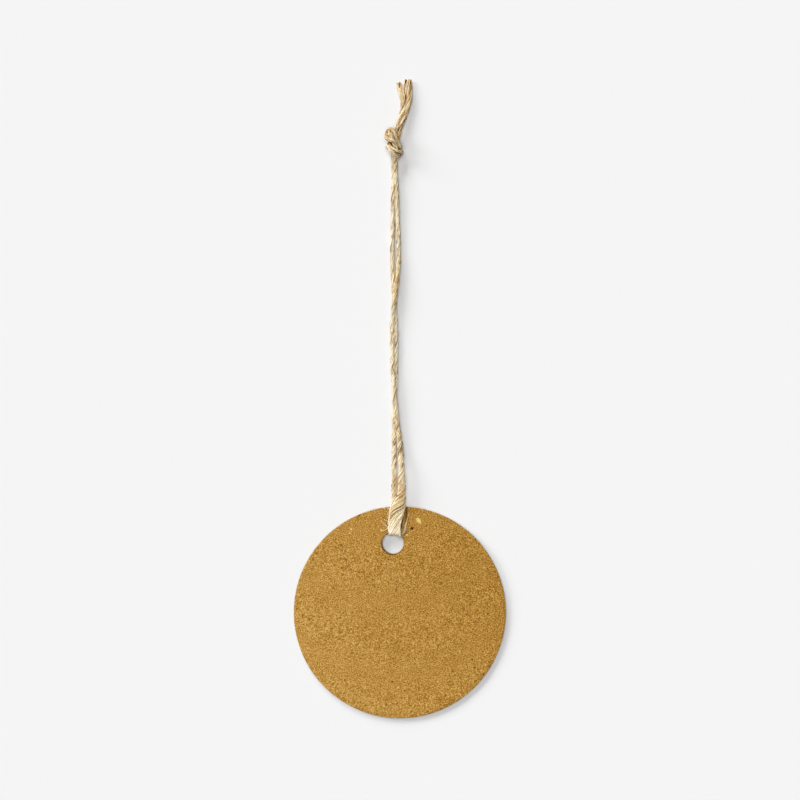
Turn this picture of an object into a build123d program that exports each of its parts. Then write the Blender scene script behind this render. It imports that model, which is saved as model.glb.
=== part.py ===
# Round kraft gift tag lying on a table, threaded on a doubled length of jute twine
# that is closed by an overhand knot and ends in two short tails.
# Millimetres. The table is at Z = 0, +Z points up, and the card's middle is above the origin.
# +Y runs from the card's middle through its hole.
import os
from math import atan2, cos, degrees, pi, radians, sin, tan

from build123d import *

# Card
card_diameter = 50.0
card_thickness = 0.6
card_edge_round = 0.12  # the rounded upper edge that a cutting die leaves
hole_diameter = 5.0
strip_width = 6.1  # card left between the hole and the rim

# Twine
twine_diameter = 1.0
twine_sides = 8  # flat sides that stand for the twine's round section
knot_squeeze = 0.82  # share of its width that the twine keeps where the knot is pulled tight
strand_gap = 0.03  # between neighbouring strands in the knot
leg_gap = 0.1  # between the two legs where one crosses over the other
twine_clearance = 0.25  # between the twine and the card
twine_lie_angle = 5.7  # the twine lies this many degrees clockwise of the card's +Y
knot_distance = 94.4  # from the hole's middle to the knot's middle
approach_run = 3.0  # straight run of each leg below the knot
tail_run = 1.5  # straight run of each tail above the knot
straight_share = 0.1  # share of a run that stays straight between its two bends

# Where the card lies: its low rim on the table, its hole end up on the twine
card_radius = card_diameter / 2
hole_radius = hole_diameter / 2
hole_offset = card_radius - strip_width - hole_radius
hole_edge = card_radius + hole_offset + hole_radius  # from the low rim to the strip
card_tilt = degrees(atan2(twine_diameter + twine_clearance, hole_edge))
card_plane = Plane(
    origin=(0, -card_radius, 0),
    x_dir=(1, 0, 0),
    z_dir=(0, -sin(radians(card_tilt)), cos(radians(card_tilt))),
)

# Heights of the twine's middle, and how far the fold round the strip's edge is from the hole's middle
on_table = twine_diameter / 2
over_leg = on_table + twine_diameter + leg_gap
strip_top = twine_diameter + twine_clearance + card_thickness
over_strip = strip_top + twine_clearance + twine_diameter / 2
rim_rise = strip_width * tan(radians(card_tilt))
over_rim = over_strip + rim_rise
fold_reach = hole_radius - twine_clearance - twine_diameter / 2


def place(right, up, height):
    """A point of the twine: right in twine diameters and up in mm, from the hole's middle."""
    lie = radians(twine_lie_angle)
    across = right * twine_diameter
    return Vector(
        across * cos(lie) + up * sin(lie),
        hole_offset - across * sin(lie) + up * cos(lie),
        height,
    )


def raised(right, up, diameters):
    """A point of the twine whose middle is some twine diameters above the table."""
    return place(right, up, diameters * twine_diameter)


def corner_radii(points):
    """The largest even bend at each corner: every arc takes the same share of its shorter run."""
    corner_share = (1 - straight_share) / 2
    radii = []
    for before, corner, after in zip(points, points[1:], points[2:]):
        run_in = corner - before
        run_out = after - corner
        half_turn = radians(run_in.get_angle(run_out)) / 2
        radii.append(corner_share * min(run_in.length, run_out.length) / tan(half_turn))
    return radii


# The knot: an overhand knot tied in both strands together.
# Each station is the middle of the pair, right, up and out of the knot's middle, and then the
# direction in which the front strand lies from the back strand. The unit is the strands' pitch.
knot_strand_diameter = twine_diameter * knot_squeeze
knot_pitch = knot_strand_diameter + strand_gap
knot_right = 0.38  # in twine diameters
knot_drop = 2.04  # from the knot's middle down to its lowest strand's middle
pair_half_spacing = 0.575
knot_height = knot_drop * knot_pitch + knot_strand_diameter / 2
knot_stations = [
    # up through the knot
    (-0.15, -3.50, 0.15, (0.40, 0.00, 0.92)),
    (-0.50, -1.70, 0.10, (0.05, 0.00, 1.00)),
    (-0.60, 0.10, 0.00, (0.00, 0.00, 1.00)),
    # over the top loop and down across the front
    (-1.45, 1.60, 0.00, (-0.20, 0.00, 0.97)),
    (-1.95, 3.10, 0.20, (-0.30, 0.00, 0.95)),
    (-1.20, 4.40, 0.75, (-0.10, 0.30, 0.90)),
    (0.10, 4.00, 1.60, (0.30, 0.50, 0.75)),
    (0.90, 2.50, 2.20, (0.60, 0.60, 0.40)),
    (1.85, 0.90, 1.60, (0.55, 0.85, 0.20)),
    # round the back
    (2.35, 0.05, 0.00, (0.10, 1.00, 0.10)),
    (1.20, -0.35, -2.00, (0.00, 1.00, 0.00)),
    (-1.15, -0.50, -2.00, (0.00, 1.00, 0.00)),
    (-2.25, -0.55, 0.00, (0.00, 1.00, 0.00)),
    # the lower band across the front
    (-1.20, -1.00, 1.95, (0.10, 1.00, 0.00)),
    (1.00, -2.00, 1.95, (0.35, 0.93, 0.00)),
    (2.20, -2.70, 0.90, (0.50, 0.90, 0.00)),
    # folded under and up through the knot
    (2.40, -3.45, -0.30, (0.60, 0.80, -0.20)),
    (2.00, -4.10, -1.40, (0.65, 0.55, -0.50)),
    (0.95, -3.35, -1.75, (0.60, 0.45, -0.60)),
    (0.85, -2.00, -0.40, (0.40, 0.30, -0.80)),
    (0.65, -0.50, 0.15, (0.00, 0.00, -1.00)),
    (0.65, 1.10, 0.10, (0.00, 0.00, -1.00)),
    (1.00, 2.70, 0.10, (0.30, 0.00, -0.95)),
]


def by_knot(station):
    """A point of the twine, measured from the knot's middle in strand pitches."""
    right, up, out = Vector(*station) * knot_pitch
    return place(knot_right + right / twine_diameter, knot_distance + up, knot_height + out)


def knot_points(side):
    """One strand's points through the knot: side is 1 for the front strand, -1 for the back one."""
    middles = [Vector(*station[:3]) for station in knot_stations]
    points = []
    for i, station in enumerate(knot_stations):
        before = middles[max(i - 1, 0)]
        after = middles[min(i + 1, len(middles) - 1)]
        along = (after - before).normalized()
        apart = Vector(*station[3])
        across = (apart - along * apart.dot(along)).normalized()
        points.append(by_knot(middles[i] + across * pair_half_spacing * side))
    return points


# Where the strands enter and leave the knot
front_leg_end = by_knot((0.28, -5.18, 0.53))
back_leg_end = by_knot((-0.42, -5.18, -0.47))
right_tail_start = by_knot((2.14, 4.47, -0.29))
left_tail_start = by_knot((1.32, 4.35, 0.62))

front_strand = [front_leg_end] + knot_points(1) + [right_tail_start]
back_strand = [back_leg_end] + knot_points(-1) + [left_tail_start]


def run_on(start, toward, length):
    """A point that carries a run on past its end in a straight line."""
    return start + (start - toward).normalized() * length


# The two legs: down the front one, through the hole and back up the back one
front_leg = [
    raised(0.95, 81.5, 1.55),
    raised(1.30, 75.5, 0.75),
    place(1.42, 69.5, on_table),
    raised(1.20, 63.5, 1.00),
    place(0.55, 58.5, over_leg),
    raised(-0.10, 53.5, 1.35),
    raised(-0.20, 46.5, 1.20),
    raised(0.00, 40.0, 1.45),
    place(0.35, 34.5, over_leg + leg_gap),
    raised(1.10, 27.5, 1.95),
    raised(2.00, 20.0, 2.35),
    place(1.85, 13.0, over_rim - leg_gap / 2),
    place(1.25, 8.0, over_rim + leg_gap / 2),
    place(0.70, 4.6, over_strip + leg_gap),
]
fold = [
    place(0.40, fold_reach, over_strip),
    place(0.15, fold_reach, on_table),
]
back_leg = [
    place(-3.00, 3.9, on_table),
    place(-3.00, 6.0, on_table),
    place(0.15, 9.6, on_table),
    place(0.36, 15.0, on_table),
    place(0.25, 21.5, on_table),
    place(0.36, 28.0, on_table),
    place(0.55, 35.0, on_table),
    place(0.78, 42.0, on_table),
    place(0.75, 50.0, on_table),
    place(0.40, 57.5, on_table),
    place(-0.02, 63.0, on_table),
    place(-0.15, 69.5, on_table),
    place(-0.12, 76.0, on_table),
    raised(0.00, 81.5, 0.85),
]
loop_points = [
    front_leg_end,
    run_on(front_leg_end, front_strand[1], approach_run),
    *front_leg,
    *fold,
    *back_leg,
    run_on(back_leg_end, back_strand[1], approach_run),
    back_leg_end,
]

right_tail_points = [
    right_tail_start,
    run_on(right_tail_start, front_strand[-2], tail_run),
    raised(3.40, 102.2, 1.35),
    raised(3.85, 105.4, 0.70),
    place(3.56, 109.0, on_table),
]
left_tail_points = [
    left_tail_start,
    run_on(left_tail_start, back_strand[-2], tail_run),
    raised(2.35, 102.0, 1.90),
    raised(2.30, 105.2, 1.00),
    place(1.20, 108.6, on_table),
]

# Card: a punched disc on its tilted plane
with BuildPart() as tag_card:
    with BuildSketch(card_plane):
        with Locations((0, card_radius)):
            Circle(card_radius)
        with Locations((0, card_radius + hole_offset)):
            Circle(hole_radius, mode=Mode.SUBTRACT)
    extrude(amount=card_thickness)
    upper_face = tag_card.faces().filter_by(GeomType.PLANE).sort_by(Axis.Z)[-1]
    fillet(upper_face.edges(), card_edge_round)
tag_card.part.label = "tag_card"

# Legs
with BuildPart() as twine_loop:
    with BuildLine() as loop_path:
        FilletPolyline(*loop_points, radius=corner_radii(loop_points))
    with BuildSketch(Plane(loop_path.line @ 0, z_dir=loop_path.line % 0)):
        RegularPolygon(twine_diameter / 2, twine_sides, rotation=180 / twine_sides)
    sweep()
twine_loop.part.label = "twine_loop"

# Knot
with BuildPart() as twine_knot:
    with BuildLine() as front_path:
        FilletPolyline(*front_strand, radius=corner_radii(front_strand))
    with BuildSketch(Plane(front_path.line @ 0, z_dir=front_path.line % 0)):
        RegularPolygon(knot_strand_diameter / 2, twine_sides)
    sweep()
    with BuildLine() as back_path:
        FilletPolyline(*back_strand, radius=corner_radii(back_strand))
    with BuildSketch(Plane(back_path.line @ 0, z_dir=back_path.line % 0)):
        RegularPolygon(knot_strand_diameter / 2, twine_sides)
    sweep()
twine_knot.part.label = "twine_knot"

# Tails
with BuildPart() as twine_tail_right:
    with BuildLine() as right_tail_path:
        FilletPolyline(*right_tail_points, radius=corner_radii(right_tail_points))
    with BuildSketch(Plane(right_tail_path.line @ 0, z_dir=right_tail_path.line % 0)):
        RegularPolygon(twine_diameter / 2, twine_sides)
    sweep()
twine_tail_right.part.label = "twine_tail_right"

with BuildPart() as twine_tail_left:
    with BuildLine() as left_tail_path:
        FilletPolyline(*left_tail_points, radius=corner_radii(left_tail_points))
    with BuildSketch(Plane(left_tail_path.line @ 0, z_dir=left_tail_path.line % 0)):
        RegularPolygon(twine_diameter / 2, twine_sides)
    sweep()
twine_tail_left.part.label = "twine_tail_left"

print(f"card tilted {card_tilt:.2f} degrees")
for name, tubes, paths, diameter in (
    ("legs", twine_loop, [loop_path], twine_diameter),
    ("knot", twine_knot, [front_path, back_path], knot_strand_diameter),
    ("right tail", twine_tail_right, [right_tail_path], twine_diameter),
    ("left tail", twine_tail_left, [left_tail_path], twine_diameter),
):
    length = sum(path.wire().length for path in paths)
    section = twine_sides * diameter**2 / 8 * sin(2 * pi / twine_sides)
    print(f"{name}: {length:.1f} mm of twine, volume {tubes.part.volume:.2f} mm3,", end=" ")
    print(f"section times length {section * length:.2f} mm3")
for name, points in (
    ("legs", loop_points),
    ("front strand of the knot", front_strand),
    ("back strand of the knot", back_strand),
    ("right tail", right_tail_points),
    ("left tail", left_tail_points),
):
    print(name, "radii", [round(radius, 1) for radius in corner_radii(points)])
knot_gap = front_path.wire().distance_to(back_path.wire()) - knot_strand_diameter
print(f"least gap between the knot's strands {knot_gap:.2f} mm")

os.makedirs("parts", exist_ok=True)
for piece in (tag_card, twine_loop, twine_knot, twine_tail_right, twine_tail_left):
    export_step(piece.part, f"parts/{piece.part.label}.step")
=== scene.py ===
import random
from math import atan2, cos, pi, radians, sin, sqrt, tan

import bmesh
import bpy
from mathutils import Matrix, Vector, noise


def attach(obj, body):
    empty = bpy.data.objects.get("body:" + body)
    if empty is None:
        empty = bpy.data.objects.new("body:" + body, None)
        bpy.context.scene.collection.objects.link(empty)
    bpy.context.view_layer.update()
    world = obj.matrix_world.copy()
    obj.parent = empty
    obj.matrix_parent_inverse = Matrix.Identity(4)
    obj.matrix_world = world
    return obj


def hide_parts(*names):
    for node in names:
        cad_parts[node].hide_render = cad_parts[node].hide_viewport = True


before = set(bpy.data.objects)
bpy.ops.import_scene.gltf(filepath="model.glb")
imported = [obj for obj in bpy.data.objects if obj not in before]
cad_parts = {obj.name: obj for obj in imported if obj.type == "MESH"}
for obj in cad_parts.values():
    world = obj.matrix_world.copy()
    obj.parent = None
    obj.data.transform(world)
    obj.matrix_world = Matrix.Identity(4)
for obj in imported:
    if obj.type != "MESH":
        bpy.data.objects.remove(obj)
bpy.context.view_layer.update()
mm = 0.001
scene = bpy.context.scene
scene.view_settings.view_transform = "Standard"


# small helpers for nodes and objects

def tint(red, green, blue):  # a colour as a picture editor gives it, made linear
    channels = []
    for value in (red, green, blue):
        value /= 255
        channels.append(value / 12.92 if value <= 0.04045 else ((value + 0.055) / 1.055) ** 2.4)
    return (*channels, 1.0)


def addNode(tree, kind, settings=None, **values):  # a value called _2 goes to the third input
    node = tree.nodes.new(kind)
    for name, value in (settings or {}).items():
        setattr(node, name, value)
    for name, value in values.items():
        socket = node.inputs[int(name[1:])] if name[0] == "_" else node.inputs[name]
        if isinstance(value, bpy.types.NodeSocket):
            tree.links.new(value, socket)
        else:
            socket.default_value = value
    return node


def mathNode(tree, operation, a, b=0.0, c=0.0, clamp=False):
    settings = {"operation": operation, "use_clamp": clamp}
    return addNode(tree, "ShaderNodeMath", settings, _0=a, _1=b, _2=c).outputs[0]


def vectorNode(tree, operation, a, b, c=(0, 0, 0), output="Vector"):
    settings = {"operation": operation}
    return addNode(tree, "ShaderNodeVectorMath", settings, _0=a, _1=b, _2=c).outputs[output]


def rangeNode(tree, value, start, end, most=1.0):  # none at start, the most at end
    return addNode(tree, "ShaderNodeMapRange", None, _0=value, _1=start, _2=end, _4=most).outputs[0]


def noiseNode(tree, where, scale, detail, roughness=0.5):
    values = {"Vector": where, "Scale": scale, "Detail": detail, "Roughness": roughness}
    return addNode(tree, "ShaderNodeTexNoise", None, **values)


def mixColour(tree, factor, a, b, blend="MIX"):
    settings = {"data_type": "RGBA", "blend_type": blend}
    return addNode(tree, "ShaderNodeMix", settings, _0=factor, _6=a, _7=b).outputs[2]


def rampNode(tree, factor, stops):  # stops are positions with their colours
    node = addNode(tree, "ShaderNodeValToRGB", None, _0=factor)
    stripe = node.color_ramp.elements
    while len(stripe) < len(stops):
        stripe.new(0.5)
    for element, (position, colour) in zip(stripe, stops):
        element.position = position
        element.color = tint(*colour)
    return node.outputs[0]


def startMaterial(name, roughness, specular):
    material = bpy.data.materials.new(name)
    material.use_nodes = True
    tree = material.node_tree
    shader = tree.nodes["Principled BSDF"]
    shader.inputs["Roughness"].default_value = roughness
    shader.inputs["Specular IOR Level"].default_value = specular
    return material, tree, shader


def finishMaterial(tree, shader, colour, height, bump):
    strength, depth = bump
    raised = addNode(tree, "ShaderNodeBump", None, Strength=strength, Distance=depth, Height=height)
    tree.links.new(colour, shader.inputs["Base Color"])
    tree.links.new(raised.outputs[0], shader.inputs["Normal"])


def showMesh(name, mesh, material):
    piece = bpy.data.objects.new(name, mesh)
    scene.collection.objects.link(piece)
    mesh.materials.clear()
    mesh.materials.append(material)
    return piece


# camera straight above, turned so that the twine stands upright in the picture

photoView = {
    "aim": (5.02, 49.84),
    "height": 900.0,
    "subject": 1.0,  # at this height the picture shows the width below
    "width": 188.7,
    "turn": -5.7,
    "sensor": 36.0,
    "clipEnd": 20.0,  # metres
}

camera = bpy.data.objects.new("photoCamera", bpy.data.cameras.new("photoCamera"))
scene.collection.objects.link(camera)
camera.location = Vector((*photoView["aim"], photoView["height"])) * mm
camera.rotation_euler = (0, 0, radians(photoView["turn"]))
camera.data.sensor_width = photoView["sensor"]
camera.data.lens = photoView["sensor"] * (photoView["height"] - photoView["subject"]) / photoView["width"]
camera.data.clip_end = photoView["clipEnd"]
scene.camera = camera
print("camera set")


# floor, sky, two soft low lamps at the upper left and a wide one overhead

studio = {
    "floorSize": 2.0,
    "floorColour": (245, 245, 245),
    "floorRoughness": 0.9,
    "skyLight": 0.04,
    # light on a level white surface, degrees up, degrees round from the picture's right, spread, bounces
    "lamps": [
        ("leftLamp", 0.205, 19.5, 150.0, 22.0, 0),
        ("upperLamp", 0.205, 19.5, 113.0, 22.0, 0),
        ("overheadLamp", 0.55, 83.0, 135.0, 44.0, 8),
    ],
}

floorBuild = bmesh.new()
bmesh.ops.create_grid(floorBuild, x_segments=1, y_segments=1, size=studio["floorSize"])
floorMesh = bpy.data.meshes.new("paleFloor")
floorBuild.to_mesh(floorMesh)
floorBuild.free()
floorMaterial, floorTree, floorShader = startMaterial("paleFloorPaint", studio["floorRoughness"], 0.0)
floorShader.inputs["Base Color"].default_value = tint(*studio["floorColour"])
floor = showMesh("paleFloor", floorMesh, floorMaterial)

world = bpy.data.worlds.new("studioSky")
world.use_nodes = True
scene.world = world
sky = world.node_tree
sky.nodes.clear()
rays = addNode(sky, "ShaderNodeLightPath")
seen = mathNode(sky, "MAXIMUM", rays.outputs["Is Camera Ray"], rays.outputs["Is Glossy Ray"])
seen = mathNode(sky, "MAXIMUM", seen, rays.outputs["Is Transmission Ray"])
fill = addNode(sky, "ShaderNodeBackground", None, Color=(1, 1, 1, 1), Strength=studio["skyLight"])
backdrop = addNode(sky, "ShaderNodeBackground", None, Color=tint(*studio["floorColour"]), Strength=1.0)
both = addNode(sky, "ShaderNodeMixShader", None, _0=seen, _1=fill.outputs[0], _2=backdrop.outputs[0])
addNode(sky, "ShaderNodeOutputWorld", None, Surface=both.outputs[0])

for name, light, height, side, spread, bounces in studio["lamps"]:
    lamp = bpy.data.objects.new(name, bpy.data.lights.new(name, "SUN"))
    scene.collection.objects.link(lamp)
    rise, heading = radians(height), radians(side + photoView["turn"])
    lampSide = Vector((cos(heading) * cos(rise), sin(heading) * cos(rise), sin(rise)))
    lamp.rotation_mode = "QUATERNION"
    lamp.rotation_quaternion = (-lampSide).to_track_quat("-Z", "Y")
    lamp.data.energy = light * pi / sin(rise)
    lamp.data.angle = radians(spread)
    lamp.data.cycles.max_bounces = bounces
print("studio set")


# mottle that both the card and the twine show: patches of two sizes

mottleShape = {"patch": (3.0, 0.55), "grain": (2.0, 0.65)}  # detail and roughness

mottle = bpy.data.node_groups.new("fibreMottle", "ShaderNodeTree")
mottle.interface.new_socket("Place", in_out="INPUT", socket_type="NodeSocketVector")
for name in ("Patch Scale", "Grain Scale"):
    mottle.interface.new_socket(name, in_out="INPUT", socket_type="NodeSocketFloat")
for name in ("Patch", "Grain"):
    mottle.interface.new_socket(name, in_out="OUTPUT", socket_type="NodeSocketFloat")
mottleIn = addNode(mottle, "NodeGroupInput").outputs
mottlePatch = noiseNode(mottle, mottleIn["Place"], mottleIn["Patch Scale"], *mottleShape["patch"])
mottleGrain = noiseNode(mottle, mottleIn["Place"], mottleIn["Grain Scale"], *mottleShape["grain"])
addNode(mottle, "NodeGroupOutput", None, Patch=mottlePatch.outputs[0], Grain=mottleGrain.outputs[0])


def mottleNode(tree, where, look):
    node = addNode(tree, "ShaderNodeGroup", {"node_tree": mottle}, Place=where)
    node.inputs["Patch Scale"].default_value = look["patchScale"]
    node.inputs["Grain Scale"].default_value = look["grainScale"]
    return node.outputs["Patch"], node.outputs["Grain"]


# where things lie: places are given right and up in the picture, from the hole's middle

lay = {
    "holeOffset": 16.4,
    "lieAngle": 5.7,  # degrees that the twine lies clockwise of the card's own line
    "knotRight": 0.38,
    "knotDistance": 94.4,
}
lie = radians(lay["lieAngle"])
pictureRight = Vector((cos(lie), -sin(lie), 0))
pictureUp = Vector((sin(lie), cos(lie), 0))


def place(right, up, height):
    return Vector((0, lay["holeOffset"], height)) + pictureRight * right + pictureUp * up


def upFromHole(spot):
    return (spot / mm - place(0, 0, 0)).dot(pictureUp)


# card: a punched disc on its tilted plane, resting on the twine at one end

cardShape = {
    "radius": 25.0,
    "thickness": 0.6,
    "holeRadius": 2.56,
    "stripUnder": 0.65,  # height of the card's lower face at the edge of the hole, on twine pressed flat
    "spokes": 240,
    "rings": 26,
    "edgeRound": 0.06,
    "lowerRound": 0.05,
    "roundSegments": 3,
    "sharpTurn": 1.0,  # edges that turn by more than this are rounded, in radians
    "curl": 0.16,  # how far the sides bend down
    "punchSlant": (0.06, 0.10),  # how far the punch pushed the hole's lower edge
    "rimWear": 0.03,
    "wearRate": 1.7,
    "slack": 0.01,  # added when picking the points of an edge
    "shadeTurn": 50.0,  # edges that turn by more degrees show as creases
}
cardTilt = atan2(cardShape["stripUnder"], cardShape["radius"] + lay["holeOffset"] + cardShape["holeRadius"])


def cardTop(spot):
    bent = cardShape["curl"] * (spot.x / cardShape["radius"]) ** 2
    return (spot.y + cardShape["radius"]) * tan(cardTilt) + cardShape["thickness"] - bent


def makeCard(material):
    radius, thickness, holeRadius = cardShape["radius"], cardShape["thickness"], cardShape["holeRadius"]
    hole = Vector((0, lay["holeOffset"], 0))
    build = bmesh.new()
    bmesh.ops.create_circle(build, segments=cardShape["spokes"], radius=radius)
    inner = bmesh.ops.create_circle(build, segments=cardShape["spokes"], radius=holeRadius)["verts"]
    bmesh.ops.translate(build, verts=inner, vec=hole)
    bmesh.ops.bridge_loops(build, edges=build.edges)
    inner = set(inner)
    across = [edge for edge in build.edges if (edge.verts[0] in inner) != (edge.verts[1] in inner)]
    bmesh.ops.subdivide_edges(build, edges=across, cuts=cardShape["rings"])
    bmesh.ops.recalc_face_normals(build, faces=build.faces)
    bmesh.ops.solidify(build, geom=build.faces, thickness=thickness)
    low = min(vertex.co.z for vertex in build.verts)
    bmesh.ops.translate(build, verts=build.verts, vec=(0, 0, -low))
    bmesh.ops.recalc_face_normals(build, faces=build.faces)
    for upper, size in ((True, cardShape["edgeRound"]), (False, cardShape["lowerRound"])):
        sharp = [
            edge for edge in build.edges
            if edge.calc_face_angle(0) > cardShape["sharpTurn"]
            and all((vertex.co.z > thickness / 2) == upper for vertex in edge.verts)
        ]
        bmesh.ops.bevel(
            build, geom=sharp, offset=size, segments=cardShape["roundSegments"],
            profile=0.5, affect="EDGES", material=-1,
        )
    holeEdge = holeRadius + cardShape["lowerRound"] + cardShape["slack"]
    rim = radius - cardShape["edgeRound"] - cardShape["slack"]
    for vertex in build.verts:
        spot = vertex.co
        if (spot - hole).xy.length < holeEdge and spot.z < thickness / 2:
            spot.x += cardShape["punchSlant"][0]
            spot.y += cardShape["punchSlant"][1]
        if spot.xy.length > rim:
            wear = 1 + cardShape["rimWear"] / radius * noise.noise(spot * cardShape["wearRate"])
            spot.x *= wear
            spot.y *= wear
        spot.z -= cardShape["curl"] * (spot.x / radius) ** 2
    tilt = Matrix.Rotation(cardTilt, 3, "X")
    bmesh.ops.rotate(build, verts=build.verts, cent=(0, -radius, 0), matrix=tilt)
    bmesh.ops.scale(build, verts=build.verts, vec=(mm, mm, mm))
    mesh = bpy.data.meshes.new("kraftCard")
    build.to_mesh(mesh)
    build.free()
    mesh.shade_smooth()
    mesh.set_sharp_from_angle(angle=radians(cardShape["shadeTurn"]))
    piece = showMesh("kraftCard", mesh, material)
    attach(piece, "card")
    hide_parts("tag_card")
    print(f"kraftCard: {len(mesh.polygons)} faces")


# kraft board: brown pulp with pale and dark fibres pressed into it

kraftLook = {
    "roughness": 0.85,
    "specular": 0.2,
    "patchScale": 160.0,
    "grainScale": 4000.0,
    "grainTone": (2.8, -0.94),  # tone from grain and patches: times the first, plus the second
    "patchTone": (0.16, -0.08),
    "fade": (-3.1, -1.3, 0.0),  # painted light: tone per metre, the board is painted paler towards the lower left
    "fibreTurns": (15.0, 75.0, 140.0),
    "fibreSize": (0.0013, 0.00019, 0.0013),
    "fibreDetail": 1.0,
    "paleFibres": (0.60, 0.72, 0.18),  # where in the noise they begin and are full, and their tone
    "darkFibres": (0.40, 0.28, 0.20),
    "tones": [
        (0.0, (122, 77, 14)),
        (0.3, (165, 118, 38)),
        (0.5, (186, 138, 57)),
        (0.7, (204, 157, 79)),
        (1.0, (228, 190, 120)),
    ],
    "specks": [  # cells per metre, share of the cells left bare, colour
        (430.0, 0.52, (92, 56, 20)),
        (520.0, 0.70, (226, 192, 122)),
    ],
    "speckEdge": (0.14, 0.08, 0.7),  # where in a cell a speck begins and is full, and how full
    "ragged": (2600.0, 2.0),  # scale and detail of the noise that makes flecks uneven
    "raggedReach": 0.0003,
    "flecks": [  # right and up from the hole's middle, radius, colour
        (5.85, 5.60, 0.50, (226, 198, 112)),
        (6.15, 5.30, 0.58, (230, 206, 122)),
        (6.42, 4.90, 0.42, (224, 196, 110)),
        (4.38, 3.42, 0.38, (78, 34, 4)),
        (4.70, 3.48, 0.36, (78, 34, 4)),
        (3.35, 1.95, 0.22, (250, 238, 214)),
        (-9.90, 3.30, 0.28, (240, 214, 150)),
        (11.4, 6.0, 0.24, (112, 66, 26)),
        (-2.70, 3.10, 0.25, (236, 206, 140)),
    ],
    "fleckCore": 0.6,  # share of the radius that is full
    "holeCutAndShade": (-0.10, -0.11, 0.24, (70, 42, 6)),  # round the punched hole, the cut edge's darker brown with painted shade of the hole's wall: middle, how far out, colour
    "cutFacing": (0.85, 0.35),  # how level a face is where the cut edge begins, and where it is full
    "cutLayers": (500, 500, 9000),
    "cutDetail": 2.0,
    "cutTones": [(0.35, (128, 88, 40)), (0.7, (186, 138, 57))],
    "bump": (0.2, 0.00002),  # strength, and depth in metres
}


def dotNode(tree, where, right, up, outer, inner):  # full within the inner radius, none past the outer
    away = vectorNode(tree, "DISTANCE", where, place(right, up, 0) * mm, output="Value")
    return rangeNode(tree, away, outer * mm, inner * mm)


def makeKraft():
    material, tree, shader = startMaterial("kraftBoard", kraftLook["roughness"], kraftLook["specular"])
    coordinates = addNode(tree, "ShaderNodeTexCoord").outputs
    where = coordinates["Object"]
    patch, grain = mottleNode(tree, where, kraftLook)
    pale, dark = 0.0, 0.0
    for turn in kraftLook["fibreTurns"]:
        turned = addNode(
            tree, "ShaderNodeMapping", {"vector_type": "TEXTURE"},
            Vector=where, Rotation=(0, 0, radians(turn)), Scale=kraftLook["fibreSize"],
        )
        strand = noiseNode(tree, turned.outputs[0], 1.0, kraftLook["fibreDetail"]).outputs[0]
        pale = mathNode(tree, "MAXIMUM", rangeNode(tree, strand, *kraftLook["paleFibres"]), pale)
        dark = mathNode(tree, "MAXIMUM", rangeNode(tree, strand, *kraftLook["darkFibres"]), dark)
    tone = mathNode(tree, "MULTIPLY_ADD", grain, *kraftLook["grainTone"])
    tone = mathNode(tree, "ADD", tone, mathNode(tree, "MULTIPLY_ADD", patch, *kraftLook["patchTone"]))
    # painted light: a slope of tone that makes the board paler towards the lower left
    fade = vectorNode(tree, "DOT_PRODUCT", where, kraftLook["fade"], output="Value")
    tone = mathNode(tree, "ADD", tone, fade)
    tone = mathNode(tree, "ADD", tone, pale)
    tone = mathNode(tree, "SUBTRACT", tone, dark, clamp=True)
    colour = rampNode(tree, tone, kraftLook["tones"])
    for scale, bare, shade in kraftLook["specks"]:
        cells = addNode(tree, "ShaderNodeTexVoronoi", None, Vector=where, Scale=scale).outputs
        speck = rangeNode(tree, cells["Distance"], *kraftLook["speckEdge"])
        chosen = addNode(tree, "ShaderNodeSeparateColor", None, _0=cells["Color"]).outputs[0]
        speck = mathNode(tree, "MULTIPLY", speck, mathNode(tree, "GREATER_THAN", chosen, bare))
        colour = mixColour(tree, speck, colour, tint(*shade))
    reach = kraftLook["raggedReach"]
    ragged = noiseNode(tree, where, *kraftLook["ragged"]).outputs["Color"]
    ragged = vectorNode(tree, "MULTIPLY_ADD", ragged, (2 * reach,) * 3, where)
    ragged = vectorNode(tree, "SUBTRACT", ragged, (reach,) * 3)
    flat = vectorNode(tree, "MULTIPLY", ragged, (1, 1, 0))
    for right, up, radius, shade in kraftLook["flecks"]:
        fleck = dotNode(tree, flat, right, up, radius, radius * kraftLook["fleckCore"])
        colour = mixColour(tree, fleck, colour, tint(*shade))
    # partly the cut edge's darker brown, partly painted shade of the hole's wall, off towards the lower
    # left
    right, up, out, shade = kraftLook["holeCutAndShade"]
    holeRadius = cardShape["holeRadius"]
    holeCutAndShade = dotNode(tree, flat, right, up, holeRadius + out, holeRadius)
    colour = mixColour(tree, holeCutAndShade, colour, tint(*shade))
    facing = addNode(tree, "ShaderNodeSeparateXYZ", None, _0=coordinates["Normal"]).outputs[2]
    cut = rangeNode(tree, mathNode(tree, "ABSOLUTE", facing), *kraftLook["cutFacing"])
    layers = addNode(tree, "ShaderNodeMapping", None, Vector=where, Scale=kraftLook["cutLayers"])
    layers = noiseNode(tree, layers.outputs[0], 1.0, kraftLook["cutDetail"]).outputs[0]
    colour = mixColour(tree, cut, colour, rampNode(tree, layers, kraftLook["cutTones"]))
    finishMaterial(tree, shader, colour, tone, kraftLook["bump"])
    print("kraft ready")
    return material


# twine: how the knot is tied, and where both strands run

knotTie = {
    "strand": 0.82,
    "pitch": 0.85,  # one strand width of the stations below, along the table and out of it
    "depthPitch": 0.52,
    "drop": 2.04,  # how far the lowest strand is below the knot's middle, in strand widths
    "halfSpacing": 0.57,
    "width": 0.98,
    "turns": 0.10,
    "endTurns": 0.14,
    "below": (1.0, 1.0, 0.16),  # width, thickness and turns of the run below
    "belowRun": 3.0,
    "span": 4.2,  # points this near to the middle lie closer together
    "reach": 2.4,  # the shade in the knot ends this far from its own middle
    "shadeUp": -0.6,  # that middle, up from the knot's
}
knotHeight = knotTie["drop"] * knotTie["depthPitch"] + knotTie["strand"] / 2


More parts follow.
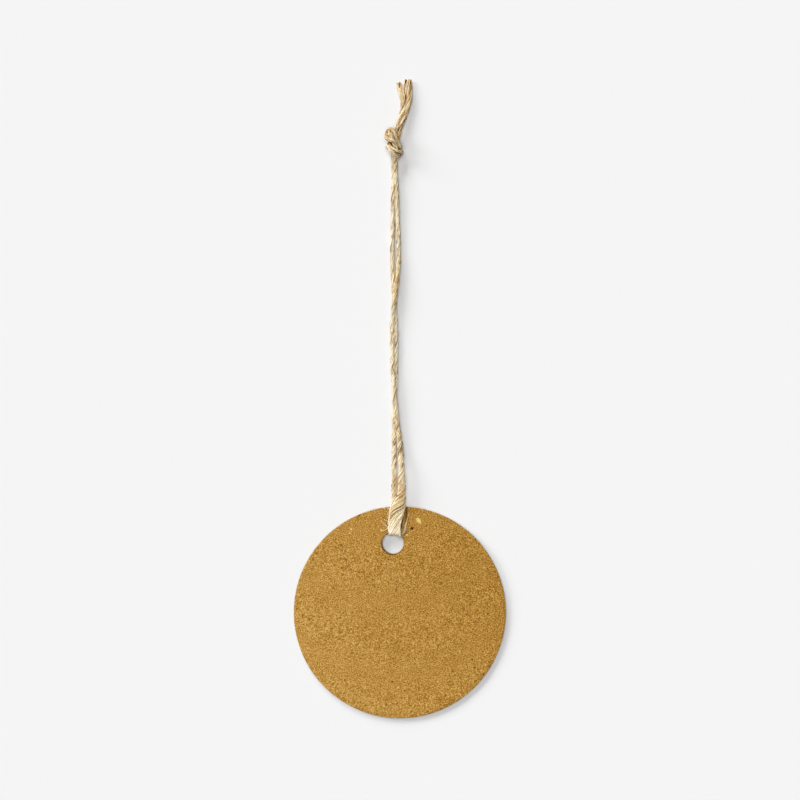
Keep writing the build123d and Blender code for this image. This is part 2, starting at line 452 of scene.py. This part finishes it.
def byKnot(right, up, out):
    pitch = knotTie["pitch"]
    height = knotHeight + out * knotTie["depthPitch"]
    return place(lay["knotRight"] + right * pitch, lay["knotDistance"] + up * pitch, height)


# from the knot's top loop on: right, up and out in strand widths, then which way the front strand lies
knotStations = [
    # down across the front
    (-1.10, 3.60, 1.45, (0.35, 0.60, 0.65)),
    (-0.75, 2.55, 2.05, (0.92, 0.52, 0.20)),
    (-0.15, 1.35, 1.90, (0.90, 0.50, 0.10)),
    (0.30, 0.25, 1.00, (0.85, 0.55, 0.10)),
    # on to the right and round the back
    (0.80, -0.75, 0.60, (0.65, 0.70, 0.10)),
    (1.40, -1.70, 0.00, (0.45, 0.80, 0.10)),
    (1.10, -1.70, -1.70, (0.20, 1.00, 0.00)),
    (-0.30, -0.90, -1.95, (0.00, 1.00, 0.00)),
    (-1.40, -0.55, -1.80, (0.00, 1.00, 0.00)),
    (-1.75, -0.65, -0.20, (0.55, 0.30, -0.30)),
    # the lower band across the front
    (-1.50, -1.45, 1.55, (0.35, 0.05, -0.60)),
    (0.00, -2.80, 2.05, (0.60, 0.85, 0.00)),
    (1.20, -3.25, 1.10, (0.60, 0.90, 0.00)),
    # folded under and up through the knot
    (1.70, -2.95, -0.20, (0.60, 0.80, -0.20)),
    (1.25, -3.45, -1.35, (0.65, 0.55, -0.50)),
    (0.65, -3.00, -1.70, (0.60, 0.45, -0.60)),
    (0.75, -1.90, -0.90, (0.40, 0.30, -0.80)),
    (0.50, -0.50, -0.70, (0.10, 0.00, -1.00)),
    (0.45, 1.10, -0.60, (0.60, 0.00, -0.80)),
    (0.75, 2.40, -0.70, (0.92, -0.30, -0.20)),
]


def knotRun(twine):  # up into the knot on the strand's own way, then beside the other one
    spots = [Vector(spot) for spot in twine["rise"]]
    for right, up, out, apart in knotStations:
        spots.append(Vector((right, up, out)) + Vector(apart) * knotTie["halfSpacing"] * twine["knotSide"])
    shape = (knotTie["width"], knotTie["width"], knotTie["turns"])
    return [(byKnot(*spot), shape) for spot in spots]


def tableRun(rows):
    return [(place(*row[:3]), row[3:]) for row in rows]


# brown and pale stretches of both strands: from and to, up from the hole, and how much browner
bothBrown = [
    (28.0, 34.0, -0.07),
    (34.0, 57.0, -0.09),
    (58.0, 66.5, 0.09),
    (67.0, 81.0, -0.13),
    (90.0, 95.0, -0.04),
    (95.5, 99.5, 0.12),
]

# legs and tails: right and up from the hole's middle, height, then width, thickness and turns per mm

frontTwine = {
    "name": "frontTwine",
    "seed": 11,
    "replaces": ("twine_loop", "twine_knot", "twine_tail_right"),
    "legs": [
        (0.20, 6.8, 0.31, 1.85, 0.42, 0.10),
        (0.25, 4.6, 0.31, 2.50, 0.40, 0.08),
        (0.42, 2.30, 0.28, 2.95, 0.34, 0.06),
        (0.45, 2.03, 1.50, 3.15, 0.30, 0.07),
        (0.46, 2.45, 1.66, 3.20, 0.30, 0.08),
        (0.50, 4.8, 1.60, 3.40, 0.30, 0.08),
        (0.75, 7.0, 1.66, 4.00, 0.30, 0.08),
        (1.45, 8.9, 1.77, 3.70, 0.42, 0.12),
        (2.10, 11.2, 1.74, 2.15, 0.75, 0.20),
        (2.10, 15.0, 1.70, 1.76, 0.72, 0.20),
        (2.02, 18.0, 1.55, 1.54, 0.80, 0.20),
        (1.72, 22.5, 0.75, 1.38, 1.00, 0.20),
        (1.10, 27.5, 0.85, 1.20, 1.00, 0.18),
        (0.35, 34.5, 1.10, 1.12, 0.78, 0.13),
        (0.00, 40.0, 0.95, 1.10, 0.82, 0.13),
        (-0.20, 46.5, 0.65, 1.06, 1.00, 0.13),
        (-0.10, 53.5, 0.90, 1.06, 1.00, 0.13),
        (0.55, 58.5, 1.15, 1.12, 0.78, 0.08),
        (1.20, 63.5, 0.85, 1.08, 1.00, 0.08),
        (1.42, 69.5, 0.52, 1.10, 1.00, 0.08),
        (1.12, 75.5, 0.55, 1.10, 1.00, 0.08),
        (0.94, 81.5, 0.80, 1.10, 1.00, 0.08),
    ],
    "tail": [
        (2.25, 99.4, 0.90, 1.20, 1.05, 0.10),
        (2.92, 101.2, 0.75, 1.25, 1.05, 0.10),
        (3.60, 103.1, 0.65, 1.30, 1.05, 0.10),
        (3.84, 104.8, 0.60, 1.60, 1.05, 0.08),
        (3.62, 106.6, 0.56, 2.00, 1.00, 0.05),
        (3.55, 108.4, 0.54, 2.15, 0.95, 0.04),
        (3.55, 109.5, 0.52, 1.70, 0.70, 0.04),
    ],
    "rise": [  # up behind the lower band, forward across the other strand to the left, and over the top
        (0.36, -3.50, -0.15),
        (-0.05, -1.90, 0.05),
        (0.45, -0.60, 0.40),
        (0.30, 0.05, 1.70),
        (-0.60, 0.50, 2.75),
        (-1.55, 0.85, 2.20),
        (-2.30, 1.30, 0.90),
        (-2.10, 2.40, 0.55),
        (-1.65, 3.55, 1.10),
    ],
    # painted light: the first stretch is painted paler to lift the shade on the band and its fold over the
    # hole's edge
    "brownAndLightRuns": [(0.0, 5.5, -0.15), (9.0, 16.5, 0.19), (19.5, 26.0, 0.20), *bothBrown],
    "knotEntry": (0.35, -5.18, -0.80),
    "knotExit": (1.60, 4.05, -0.80),
    "knotSide": 1,
}

backTwine = {
    "name": "backTwine",
    "seed": 23,
    "replaces": ("twine_loop", "twine_knot", "twine_tail_left"),
    "legs": [
        (0.25, 4.4, 0.30, 2.60, 0.38, 0.10),
        (0.20, 6.8, 0.30, 1.90, 0.42, 0.12),
        (0.25, 9.6, 0.29, 1.50, 0.44, 0.16),
        (0.36, 14.0, 0.29, 1.42, 0.46, 0.18),
        (0.32, 18.0, 0.31, 1.35, 0.52, 0.18),
        (0.25, 23.0, 0.50, 1.15, 1.00, 0.18),
        (0.30, 28.0, 0.50, 1.08, 1.00, 0.18),
        (0.50, 35.0, 0.38, 1.14, 0.72, 0.13),
        (0.76, 42.0, 0.42, 1.12, 0.80, 0.13),
        (0.75, 50.0, 0.50, 1.06, 1.00, 0.13),
        (0.40, 57.5, 0.38, 1.14, 0.70, 0.08),
        (-0.02, 63.0, 0.50, 1.06, 1.00, 0.08),
        (-0.15, 69.5, 0.50, 1.08, 1.00, 0.08),
        (-0.02, 76.0, 0.50, 1.08, 1.00, 0.08),
        (0.06, 81.5, 0.80, 1.08, 1.00, 0.08),
    ],
    "tail": [
        (1.35, 99.4, 1.10, 1.20, 1.05, 0.10),
        (2.02, 101.2, 0.90, 1.25, 1.05, 0.10),
        (2.58, 103.0, 0.75, 1.35, 1.05, 0.10),
        (2.58, 104.6, 0.65, 1.60, 1.00, 0.08),
        (2.02, 106.2, 0.56, 1.75, 0.95, 0.05),
        (1.45, 107.7, 0.50, 1.50, 0.85, 0.04),
        (1.26, 108.8, 0.45, 0.90, 0.60, 0.04),
    ],
    "rise": [
        (-0.55, -3.50, -0.85),
        (-0.55, -1.90, -1.05),
        (-0.75, -0.20, -1.10),
        (-1.35, 1.10, -0.80),
        (-1.60, 2.40, -0.40),
        (-1.45, 3.20, 0.25),
    ],
    "brownAndLightRuns": [(9.0, 17.0, 0.12), *bothBrown],
    "knotEntry": (-0.42, -5.18, -1.30),
    "knotExit": (0.50, 3.95, -0.30),
    "knotSide": -1,
}


def twineRoute(twine):
    tight = (knotTie["width"], knotTie["width"], knotTie["endTurns"])
    knot = knotRun(twine)
    entry = byKnot(*twine["knotEntry"])
    leave = byKnot(*twine["knotExit"])
    below = entry + (entry - knot[0][0]).normalized() * knotTie["belowRun"]
    return [
        *tableRun(twine["legs"]),
        (below, knotTie["below"]),
        (entry, tight),
        *knot,
        (leave, tight),
        *tableRun(twine["tail"]),
    ]


# the bundle of fibres that is laid along a route

bundle = {
    "diameter": 1.1,
    "exitHeight": 1.5,
    "core": {"fibres": 5, "reach": (0.11, 0.20), "radius": 0.19, "leastTone": 0.7},
    "skin": {"fibres": 44, "reach": (0.31, 0.42), "radius": 0.078, "leastTone": 0.0},
    "skinSpread": 0.7,  # power of the width by which a flat stretch's fibres widen
    "radiusRange": (0.8, 1.2),
    "radiusDrift": 0.2,
    "uneven": 0.4,  # how far a fibre starts from its even place
    "twistSpread": 0.06,  # how far one fibre's twist differs from the next one's
    "noiseField": 50.0,  # each fibre reads the noise at its own place in this field
    "driftRate": 0.35,  # how fast the noise changes along the twine
    "driftShifts": (0.0, 131.7, 263.4),  # three noises that don't follow one another
    "wander": 0.08,
    "widestWander": 1.4,
    "lumps": 0.12,
    "lumpRate": 0.25,
    "tableGap": 0.01,
    "toneSpread": (3.4, 1.1),
    "leastTone": 0.06,
    "streaks": 2.2,  # how much browner a fibre's streaks are, and where in the noise they begin
    "streakStart": 0.14,
    "streakRate": 0.65,
    "streakShift": 7.7,
    "opened": -0.03,  # how much paler each width more makes a flat stretch
    "brownShares": (2.2, 0.4, 0.4),  # how a brown stretch falls on every third fibre and on those between
    "brownFade": 2.0,  # length over which a brown stretch begins and ends
    "knotEndBrown": (89.0, 5.0, 0.16),  # from here up, over this length, the twine is this much browner
    "knotShade": (0.62, 1.7, 0.6),  # painted shade: how much darker the knot's deeper strands are painted, below what height, over what depth
    "fray": 2.0,  # how far short of the cut end a fibre may stop
    "splineSteps": 24,
    "step": 0.32,
    "knotStep": 0.20,
    "leastLevel": 0.5,  # a steeper stretch keeps the level direction it had
}
fold = {  # near the hole, the flat band turns over along the hole's round edge
    "up": 2.2,
    "length": 3.0,
    "right": 0.45,
    "least": 1.0,  # bounds how far back the band's sides go
    "points": 80,  # only so many points from the twine's start are folded
}


def readSpline(controls):
    curve = bpy.data.curves.new("readRoute", "CURVE")
    curve.dimensions = "3D"
    spline = curve.splines.new("NURBS")
    spline.points.add(len(controls) - 1)
    for point, control in zip(spline.points, controls):
        point.co = (*control, 1.0)
    spline.order_u = 3
    spline.use_endpoint_u = True
    spline.resolution_u = bundle["splineSteps"]
    holder = bpy.data.objects.new("readRoute", curve)
    scene.collection.objects.link(holder)
    mesh = bpy.data.meshes.new_from_object(holder.evaluated_get(bpy.context.evaluated_depsgraph_get()))
    line = [vertex.co.copy() for vertex in mesh.vertices]
    bpy.data.objects.remove(holder)
    bpy.data.meshes.remove(mesh)
    bpy.data.curves.remove(curve)
    return line


def readTwine(twine):  # even points along the spline, with the shape and the twist at each
    route = twineRoute(twine)
    line = readSpline([spot * mm for spot, _ in route])
    shape = readSpline([Vector(values) for _, values in route])
    knotMiddle = byKnot(0, 0, 0) * mm
    kept = [0]
    for i in range(1, len(line)):
        inKnot = (line[i] - knotMiddle).length < knotTie["span"] * mm
        if (line[i] - line[kept[-1]]).length >= bundle["knotStep" if inKnot else "step"] * mm:
            kept.append(i)
    line = [line[i] for i in kept]
    shape = [shape[i] for i in kept]
    travelled, turned = [0.0], [0.0]
    for i in range(1, len(line)):
        run = (line[i] - line[i - 1]).length
        travelled.append(travelled[-1] + run)
        turned.append(turned[-1] - 2 * pi * shape[i].z * run / mm)
    return line, shape, travelled, turned


def carrySides(line):  # at each point: along, two sides carried without turning, two kept level
    sides = []
    side = pictureRight.copy()
    level = pictureRight.copy()
    for i in range(len(line)):
        along = (line[min(i + 1, len(line) - 1)] - line[max(i - 1, 0)]).normalized()
        side = (side - along * side.dot(along)).normalized()
        flat = along.cross((0, 0, 1))
        if flat.length > bundle["leastLevel"]:
            level = flat.normalized() if flat.dot(level) > 0 else -flat.normalized()
        level = (level - along * level.dot(along)).normalized()
        sides.append((along, side, side.cross(along), level, level.cross(along)))
    return sides


def fibreMesh(name, fibres):  # fibres are lists of points, radii and tones
    strands = bpy.data.curves.new(name, "CURVE")
    strands.dimensions = "3D"
    strands.bevel_depth = mm
    strands.bevel_resolution = 0
    for points, radii, _ in fibres:
        spline = strands.splines.new("POLY")
        spline.points.add(len(points) - 1)
        for point, spot, radius in zip(spline.points, points, radii):
            point.co = (*spot, 1.0)
            point.radius = radius
    holder = bpy.data.objects.new(name + "Curve", strands)
    scene.collection.objects.link(holder)
    mesh = bpy.data.meshes.new_from_object(holder.evaluated_get(bpy.context.evaluated_depsgraph_get()))
    bpy.data.objects.remove(holder)
    mesh.name = name
    ring = len(mesh.vertices) // sum(len(points) for points, _, _ in fibres)
    tones = [tone for _, _, along in fibres for tone in along for _ in range(ring)]
    mesh.attributes.new("fibreTone", "FLOAT", "POINT").data.foreach_set("value", tones)
    ends = bmesh.new()
    ends.from_mesh(mesh)
    bmesh.ops.holes_fill(ends, edges=[edge for edge in ends.edges if edge.is_boundary], sides=0)
    bmesh.ops.recalc_face_normals(ends, faces=ends.faces)
    ends.to_mesh(mesh)
    ends.free()
    mesh.shade_smooth()
    return mesh


def foldOnEdge(spot, across):
    share = max(0.0, 1 - abs(upFromHole(spot) - fold["up"]) / fold["length"])
    reach = cardShape["holeRadius"] ** 2
    edge = sqrt(max(reach - (across + fold["right"]) ** 2, fold["least"]))
    return pictureUp * share * (edge - sqrt(reach - fold["right"] ** 2))


def ease(value):
    return min(1.0, max(0.0, value))


# how much browner a strand is at a spot: real brown stretches, painted light at the fold, painted shade
# deep in the knot
def browner(twine, spot, share):
    up = upFromHole(spot)
    fade = bundle["brownFade"]
    start, over, change = bundle["knotEndBrown"]
    brown = change * ease((up - start) / over)
    for first, last, change in twine["brownAndLightRuns"]:
        brown += share * change * ease((up - first) / fade) * ease((last - up) / fade)
    # painted shade: strands deep in the knot are painted darker where its recesses shade them
    change, top, depth = bundle["knotShade"]
    inside = ease(knotTie["reach"] - abs(up - lay["knotDistance"] - knotTie["shadeUp"]))
    return brown + change * inside * ease((top - spot.z / mm) / depth)


def driftAt(spot):
    return Vector([noise.noise(spot + Vector((shift, 0, 0))) for shift in bundle["driftShifts"]])


def twistFibres(twine, line, shape, travelled, turned):
    chance = random.Random(twine["seed"])
    sides = carrySides(line)
    uneven, field, shares = bundle["uneven"], bundle["noiseField"], bundle["brownShares"]
    fibres = []
    for layer in (bundle["core"], bundle["skin"]):
        for j in range(layer["fibres"]):
            reach = chance.uniform(*layer["reach"])
            start = 2 * pi * (j + chance.uniform(-uneven, uneven)) / layer["fibres"]
            twist = 1 + bundle["twistSpread"] * chance.uniform(-1, 1)
            own = Vector((chance.uniform(-field, field), chance.uniform(-field, field), 0))
            radius = layer["radius"] * chance.uniform(*bundle["radiusRange"])
            last = len(line) - int(chance.random() ** 2 * bundle["fray"] / bundle["step"])
            tone = max(layer["leastTone"], chance.betavariate(*bundle["toneSpread"]))
            share = shares[j % len(shares)]
            points, radii, tones = [], [], []
            for i in range(last):
                _, side, normal, level, upright = sides[i]
                width, thick, _ = shape[i]
                wide = max(width, 1.0)
                far = travelled[i] / mm
                angle = start + turned[i] * twist
                drift = driftAt(own + Vector((0, 0, far * bundle["driftRate"])))
                lump = noise.noise(Vector((twine["seed"], 0, far * bundle["lumpRate"])))
                out = (side * cos(angle) + normal * sin(angle)) * reach * (1 + bundle["lumps"] * lump)
                x = out.dot(level) * width + bundle["wander"] * drift.x * min(width, bundle["widestWander"])
                y = (out.dot(upright) + bundle["wander"] * drift.y) * thick
                point = line[i] + (level * x + upright * y) * mm
                if i < fold["points"]:
                    point += foldOnEdge(line[i], x) * mm
                size = radius * (1 + bundle["radiusDrift"] * drift.z)
                size *= wide ** bundle["skinSpread"] if layer is bundle["skin"] else thick
                point.z = max(point.z, (size + bundle["tableGap"]) * mm)
                points.append(point)
                radii.append(size)
                streak = noise.noise(own + Vector((bundle["streakShift"], 0, far * bundle["streakRate"])))
                streak = max(0.0, streak - bundle["streakStart"]) / wide
                paler = bundle["opened"] * (width - 1) - browner(twine, line[i], share)
                shown = tone - bundle["streaks"] * streak + paler
                tones.append(min(1.0, max(bundle["leastTone"], shown)))
            fibres.append((points, radii, tones))
    return fibres


def layTwine(twine, material, loosePieces):
    line, shape, travelled, turned = readTwine(twine)
    mesh = fibreMesh(twine["name"], twistFibres(twine, line, shape, travelled, turned))
    piece = showMesh(twine["name"], mesh, material)
    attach(piece, "twine")
    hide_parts(*twine["replaces"])
    print(f"{twine['name']}: {travelled[-1] / mm:.1f} mm of twine, {len(mesh.polygons)} faces")


# loose fibres: short hairs all along both legs, and the ends that fan out over the card, the dark ones of
# which also paint the band's shade

hairs = {
    "name": "Hairs",
    "count": 90,
    "seedShift": 100,
    "bareEnds": (30, 6),  # points at each end of the twine that have no hair
    "root": 0.38,
    "radius": 0.026,
    "thinning": 0.6,
    "length": (0.8, 2.6),
    "lift": (0.1, 0.4),
    "bend": 0.22,
    "droop": (-1.0, 0.2),
    "tones": (0.5, 1.0),
    "steps": 6,
}
strays = {
    "name": "stripStrays",
    "seed": 5,
    "bend": 0.35,
    "radius": 0.082,
    "darkRadius": 0.085,
    "darkTone": 0.1,  # strays up to this tone have the dark radius
    "taper": (1.1, 0.5),  # share of the radius at the start, and how much of it goes
    "lift": 0.10,
    "steps": 8,
    "ends": [  # where each leaves the band and where it stops, right and up, then its tone
        ((-0.75, 3.20), (-2.88, 5.38), 0.72),
        ((-0.60, 5.80), (-2.19, 8.40), 0.72),
        ((-0.70, 3.95), (-2.60, 2.76), 0.66),
        ((-0.55, 6.90), (-1.30, 8.30), 0.72),
        ((-0.65, 4.60), (-2.10, 5.60), 0.68),
        ((-0.70, 2.90), (-1.60, 4.10), 0.64),
        ((-0.55, 6.30), (-1.20, 7.10), 0.62),
        ((-0.55, 7.70), (-1.15, 8.70), 0.74),
        ((-0.60, 5.10), (-1.45, 6.35), 0.70),
        ((-0.65, 3.50), (-1.30, 4.75), 0.76),
        ((-0.60, 4.20), (-1.10, 4.00), 0.72),
        ((-0.60, 2.70), (-1.05, 3.30), 0.70),
        # the dark strays below: partly dark brown fibres, partly painted shade along the raised band's
        # right side
        ((2.05, 3.40), (2.25, 5.60), 0.02),
        ((1.85, 2.50), (2.20, 4.60), 0.05),
        ((2.80, 4.80), (3.30, 8.60), 0.00),
        ((2.92, 5.30), (3.42, 8.45), 0.03),
        ((2.35, 3.00), (2.75, 6.40), 0.10),
        ((2.20, 2.60), (2.55, 5.20), 0.66),
        ((2.85, 2.64), (3.92, 7.12), 0.62),
        ((2.15, 2.17), (3.21, 3.82), 0.80),
        ((2.45, 2.40), (3.10, 5.90), 0.58),
    ],
}


def hairFibres(twine):
    chance = random.Random(twine["seed"] + hairs["seedShift"])
    line = readTwine(twine)[0]
    sides = carrySides(line)
    fibres = []
    for _ in range(hairs["count"]):
        i = chance.randrange(hairs["bareEnds"][0], len(line) - hairs["bareEnds"][1])
        along, side, normal, _, _ = sides[i]
        angle = chance.uniform(0, 2 * pi)
        outward = side * cos(angle) + normal * sin(angle)
        forward = along * chance.choice((-1, 1))
        length = chance.uniform(*hairs["length"]) * mm
        lift = chance.uniform(*hairs["lift"])
        bend = Vector((chance.uniform(-1, 1), chance.uniform(-1, 1), chance.uniform(*hairs["droop"])))
        bend = outward * lift + bend * hairs["bend"]
        root = line[i] + outward * hairs["root"] * mm
        points, radii = [], []
        for n in range(hairs["steps"] + 1):
            t = n / hairs["steps"]
            point = root + (forward * t + bend * t * t) * length
            point.z = max(point.z, hairs["radius"] * mm)
            points.append(point)
            radii.append(hairs["radius"] * (1 - hairs["thinning"] * t))
        fibres.append((points, radii, [chance.uniform(*hairs["tones"])] * len(points)))
    return fibres


def strayFibres():
    chance = random.Random(strays["seed"])
    thickest, loss = strays["taper"]
    fibres = []
    for start, end, tone in strays["ends"]:
        bend = chance.uniform(-1, 1) * strays["bend"]
        width = strays["radius"] if tone > strays["darkTone"] else strays["darkRadius"]
        points, radii = [], []
        for n in range(strays["steps"] + 1):
            t = n / strays["steps"]
            spot = place(*Vector(start).lerp(Vector(end), t), 0) + pictureRight * bend * sin(pi * t)
            radius = width * (thickest - loss * t)
            spot.z = cardTop(spot) + radius + strays["lift"] * (1 - t)
            points.append(spot * mm)
            radii.append(radius)
        fibres.append((points, radii, [tone] * len(points)))
    return fibres


def showLoose(name, fibres, material):
    piece = showMesh(name, fibreMesh(name, fibres), material)
    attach(piece, "twine")
    return piece


# jute: straw fibres with brown ones among them

juteLook = {
    "roughness": 0.8,
    "specular": 0.25,
    "patchScale": 420.0,
    "grainScale": 2600.0,
    "grainTone": (0.5, -0.25),  # added to a fibre's own tone: grain times the first, plus the second
    "tones": [
        (0.0, (80, 44, 14)),
        (0.12, (152, 100, 40)),
        (0.34, (212, 172, 108)),
        (0.66, (247, 230, 188)),
        (1.0, (255, 248, 228)),
    ],
    "stain": (196, 152, 92),
    "stainEdge": (0.52, 0.70, 0.5),  # where in a patch the stain begins and is full, and how full
    "bump": (0.35, 0.00003),  # strength, and depth in metres
}


def makeJute():
    material, tree, shader = startMaterial("juteFibre", juteLook["roughness"], juteLook["specular"])
    where = addNode(tree, "ShaderNodeTexCoord").outputs["Object"]
    tone = addNode(tree, "ShaderNodeAttribute", {"attribute_name": "fibreTone"}).outputs["Fac"]
    patch, grain = mottleNode(tree, where, juteLook)
    grainShift = mathNode(tree, "MULTIPLY_ADD", grain, *juteLook["grainTone"])
    tone = mathNode(tree, "ADD", tone, grainShift, clamp=True)
    colour = rampNode(tree, tone, juteLook["tones"])
    stain = rangeNode(tree, patch, *juteLook["stainEdge"])
    colour = mixColour(tree, stain, colour, tint(*juteLook["stain"]), "MULTIPLY")
    finishMaterial(tree, shader, colour, grain, juteLook["bump"])
    print("jute ready")
    return material


jute = makeJute()
layTwine(frontTwine, jute, [
    showLoose(frontTwine["name"] + hairs["name"], hairFibres(frontTwine), jute),
    showLoose(strays["name"], strayFibres(), jute),
])
layTwine(backTwine, jute, [showLoose(backTwine["name"] + hairs["name"], hairFibres(backTwine), jute)])
makeCard(makeKraft())
